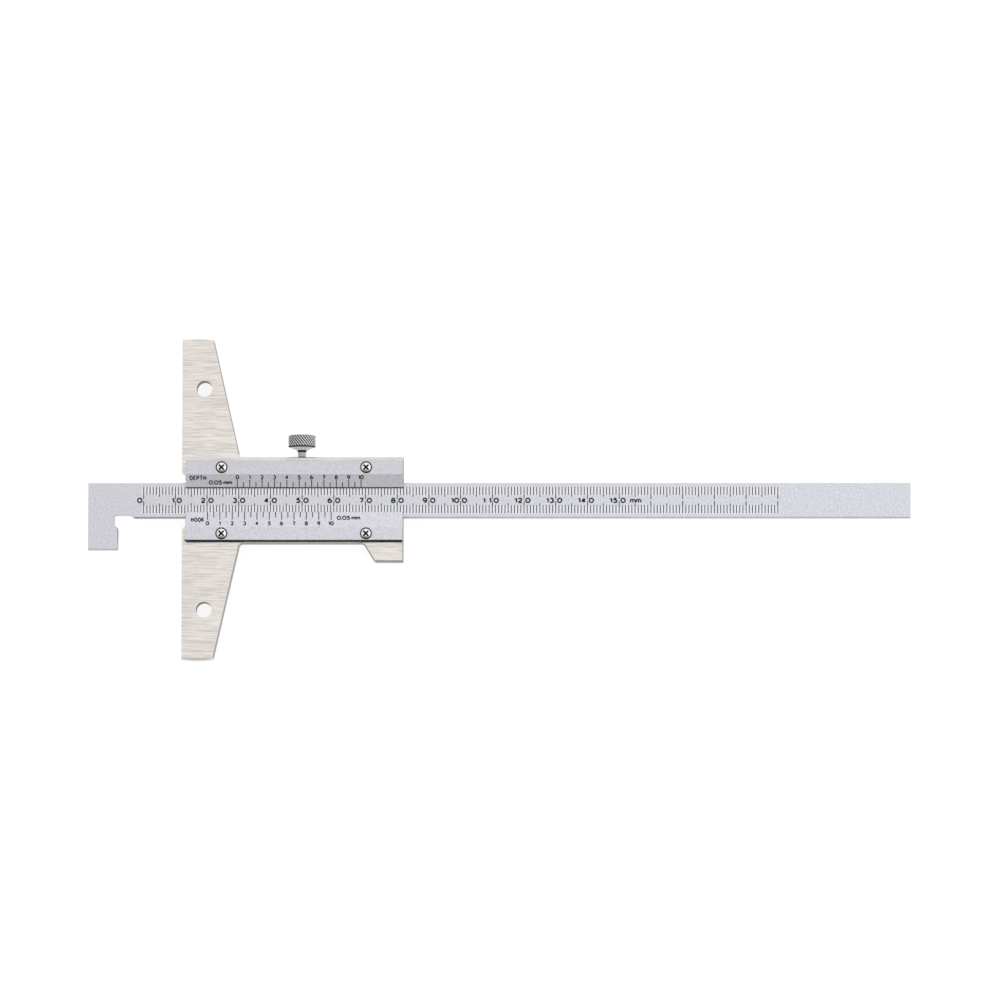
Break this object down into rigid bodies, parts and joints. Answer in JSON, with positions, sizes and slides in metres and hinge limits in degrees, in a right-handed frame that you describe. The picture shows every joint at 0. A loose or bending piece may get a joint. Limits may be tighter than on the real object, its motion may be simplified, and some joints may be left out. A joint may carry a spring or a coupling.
{
  "type": "vernier depth gauge",
  "caption": "Hook-end vernier depth gauge: graduated beam with a hook, sliding in a winged base with depth and hook vernier plates and a knurled clamp screw.",
  "frame": {"origin": "midway between the two extension-base holes, on the back face; the measuring face is 7 mm from it at -X, and the beam's centreline 0.4 mm at -Y", "axes": "+X along the beam, away from the hook; +Z from the back to the graduated face, so the gauge lies on its back; +Y towards the clamp screw"},
  "size_m": [0.2593, 0.1016, 0.0088],
  "materials": {
    "beam_satin_chrome": "satin chrome, fine and even",
    "base_ground_steel": "ground lengthwise, warm grey",
    "plate_satin_chrome": "satin chrome, matt",
    "screw_nickel": "bright nickel",
    "gib_bronze": "spring bronze, plain",
    "screw_steel": "plain steel",
    "knurled_steel": "turned and knurled, plated",
    "engraving_black": "black fill in the engraved lines and figures"
  },
  "bodies": {
    "slider": {"base_body": "base_ground_steel", "depth_vernier_plate": "plate_satin_chrome", "hook_vernier_plate": "plate_satin_chrome", "plate_screws": "screw_nickel", "gib_screws": "screw_steel"},
    "beam": {"main_beam": "beam_satin_chrome"},
    "gib": {"gib_plate": "gib_bronze"},
    "clamp": {"clamp_screw": "knurled_steel"}
  },
  "joints": [
    {"name": "beam_slide", "type": "slide", "parent": "slider", "child": "beam", "axis": [-1, 0, 0], "range_m": [-0.02015, 0.1298]},
    {"name": "gib_slide", "type": "slide", "parent": "slider", "child": "gib", "axis": [0, -1, 0], "range_m": [0, 0.0001875]},
    {"name": "clamp_turn", "type": "hinge", "parent": "gib", "child": "clamp", "pos_m": [0.03075, -0.0004, 0.00445], "axis": [0, -1, 0], "range_deg": [0, 150]}
  ],
  "couplings": [
    {"joint": "clamp_turn", "follows": "gib_slide", "rad_per_m": 13962}
  ]
}
